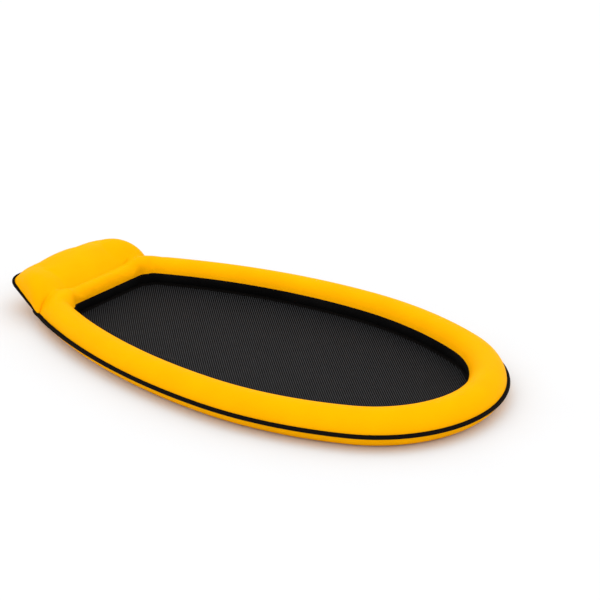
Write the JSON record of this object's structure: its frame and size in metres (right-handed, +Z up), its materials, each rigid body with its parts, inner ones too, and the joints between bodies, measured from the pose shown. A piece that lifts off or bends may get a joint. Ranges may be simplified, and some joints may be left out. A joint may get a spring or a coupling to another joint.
{
  "type": "inflatable pool float",
  "caption": "Inflatable lounger: an egg-shaped fabric-covered air ring round a sunken mesh bed, with a raised air pillow hinged to its head end.",
  "frame": {"origin": "middle of the bounding box on the plane that the float lies on", "axes": "+Z up, +Y towards the pillow, +X towards the side that carries the ring's valve"},
  "size_m": [0.9344, 1.7273, 0.1472],
  "materials": {
    "cover_fabric": "woven polyester, warm yellow, matt",
    "inner_fabric": "woven polyester, black, matt",
    "mesh_net": "knitted polyester net, black",
    "binding_tape": "folded woven tape, black",
    "bladder_film": "clear vinyl film",
    "spring_wire": "drawn spring steel",
    "ferrule_metal": "crimped sleeve",
    "valve_vinyl": "soft moulded vinyl, translucent white",
    "valve_collar_vinyl": "welded vinyl ring, black",
    "valve_flap_film": "soft film flap"
  },
  "bodies": {
    "float_ring": {"tube_cover_top": "cover_fabric", "tube_cover_bottom": "cover_fabric", "tube_inner_wall": "inner_fabric", "tube_bladder": "bladder_film", "edge_binding": "binding_tape", "spring_hoop": "spring_wire", "hoop_ferrule": "ferrule_metal", "mesh_panel": "mesh_net", "mesh_seam_tape": "binding_tape", "tube_valve_base": "valve_vinyl", "tube_valve_collar": "valve_collar_vinyl", "tube_valve_tether": "valve_vinyl"},
    "pillow": {"pillow_cover_top": "cover_fabric", "pillow_cover_bottom": "cover_fabric", "pillow_bladder": "bladder_film", "pillow_binding": "binding_tape", "pillow_hinge_sleeve": "cover_fabric", "pillow_valve_base": "valve_vinyl", "pillow_valve_collar": "valve_collar_vinyl", "pillow_valve_tether": "valve_vinyl"},
    "tube_valve_plug": {"tube_valve_cap": "valve_vinyl"},
    "pillow_valve_plug": {"pillow_valve_cap": "valve_vinyl"},
    "tube_check_flap": {"tube_valve_flap": "valve_flap_film"},
    "pillow_check_flap": {"pillow_valve_flap": "valve_flap_film"}
  },
  "joints": [
    {"name": "pillow_fold", "type": "hinge", "parent": "float_ring", "child": "pillow", "pos_m": [0, 0.7032, 0.044], "axis": [1, 0, 0], "range_deg": [-25, 15], "stiffness_Nm_per_rad": 8, "springref_deg": 1.72},
    {"name": "tube_cap_pull", "type": "slide", "parent": "float_ring", "child": "tube_valve_plug", "axis": [0.866, 0, -0.5], "range_m": [0, 0.014]},
    {"name": "pillow_cap_pull", "type": "slide", "parent": "pillow", "child": "pillow_valve_plug", "axis": [0, 0.9848, -0.1736], "range_m": [0, 0.014]},
    {"name": "tube_flap_swing", "type": "hinge", "parent": "float_ring", "child": "tube_check_flap", "pos_m": [0.43284, -0.165, 0.02377], "axis": [0, 1, 0], "range_deg": [-35, 0], "stiffness_Nm_per_rad": 0.002},
    {"name": "pillow_flap_swing", "type": "hinge", "parent": "pillow", "child": "pillow_check_flap", "pos_m": [0.07, 0.83759, 0.08326], "axis": [1, 0, 0], "range_deg": [-35, 0], "stiffness_Nm_per_rad": 0.002}
  ]
}
